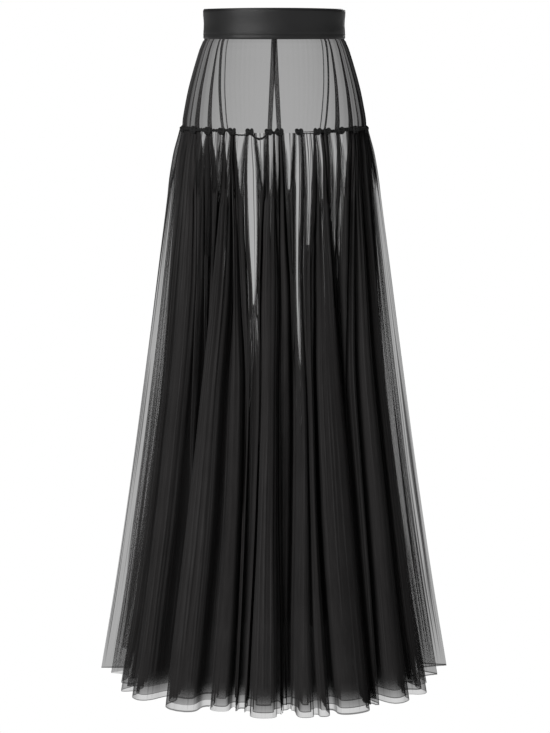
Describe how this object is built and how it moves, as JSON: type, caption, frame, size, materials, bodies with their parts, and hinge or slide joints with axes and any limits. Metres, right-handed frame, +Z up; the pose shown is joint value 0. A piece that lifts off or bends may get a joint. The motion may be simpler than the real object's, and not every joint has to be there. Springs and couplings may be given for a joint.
{
  "type": "floor-length tulle skirt",
  "caption": "Sheer floor-length tulle skirt, hollow as worn: satin waistband, pleated yoke, knotted hip cord and gathered layers in soft folds.",
  "frame": {"origin": "centre of the waist opening, at half the waistband's height, where a wearer's waist holds the skirt", "axes": "+Z up, -Y out of the front, +X to the wearer's left"},
  "size_m": [0.623, 0.5477, 1.161],
  "materials": {
    "satin": "satin-faced woven elastic, soft sheen",
    "tulle": "sheer soft tulle, matt",
    "under_tulle": "sheer soft tulle, cut double, matt",
    "cord": "twisted tulle cord, matt"
  },
  "bodies": {
    "root": {"waistband": "satin", "yoke_front": "tulle", "yoke_back": "tulle", "hip_cord": "cord", "skirt_outer_front": "tulle", "skirt_outer_back": "tulle", "skirt_under_front": "under_tulle", "skirt_under_back": "under_tulle"}
  },
  "joints": []
}
